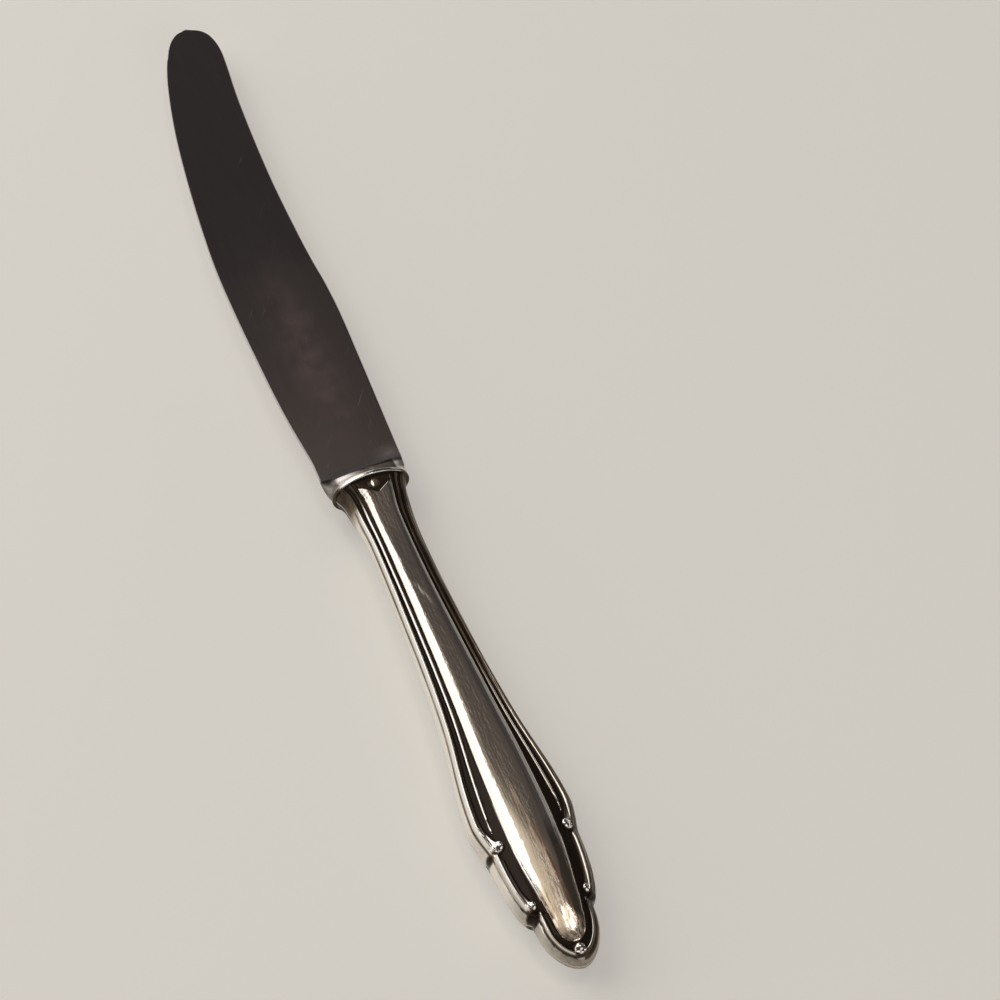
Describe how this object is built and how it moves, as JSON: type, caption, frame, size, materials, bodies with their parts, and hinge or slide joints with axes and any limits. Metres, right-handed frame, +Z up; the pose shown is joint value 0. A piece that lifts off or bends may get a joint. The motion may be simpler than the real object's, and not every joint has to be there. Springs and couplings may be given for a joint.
{
  "type": "table knife",
  "caption": "Table knife with a round-nosed steel blade and bolster set in a hollow, soldered silver handle with thread and scroll ornament.",
  "frame": {"origin": "middle of the knife's box, on the surface that it lies on", "axes": "+X along the knife to the blade's tip, +Y to the cutting edge, +Z up through the knife's flat side as it lies on a table"},
  "size_m": [0.2504, 0.022, 0.0125],
  "materials": {
    "blade_steel": "mirror-polished stainless steel with fine wear",
    "handle_silver": "polished silver, darkened in the grooves and scratched along its length",
    "seam_solder": "filed silver solder",
    "handle_cement": "hard brown cement"
  },
  "bodies": {
    "root": {"blade": "blade_steel", "mouth_ferrule": "handle_silver", "handle_front_shell": "handle_silver", "handle_back_shell": "handle_silver", "seam_solder": "seam_solder", "handle_cement": "handle_cement"}
  },
  "joints": []
}
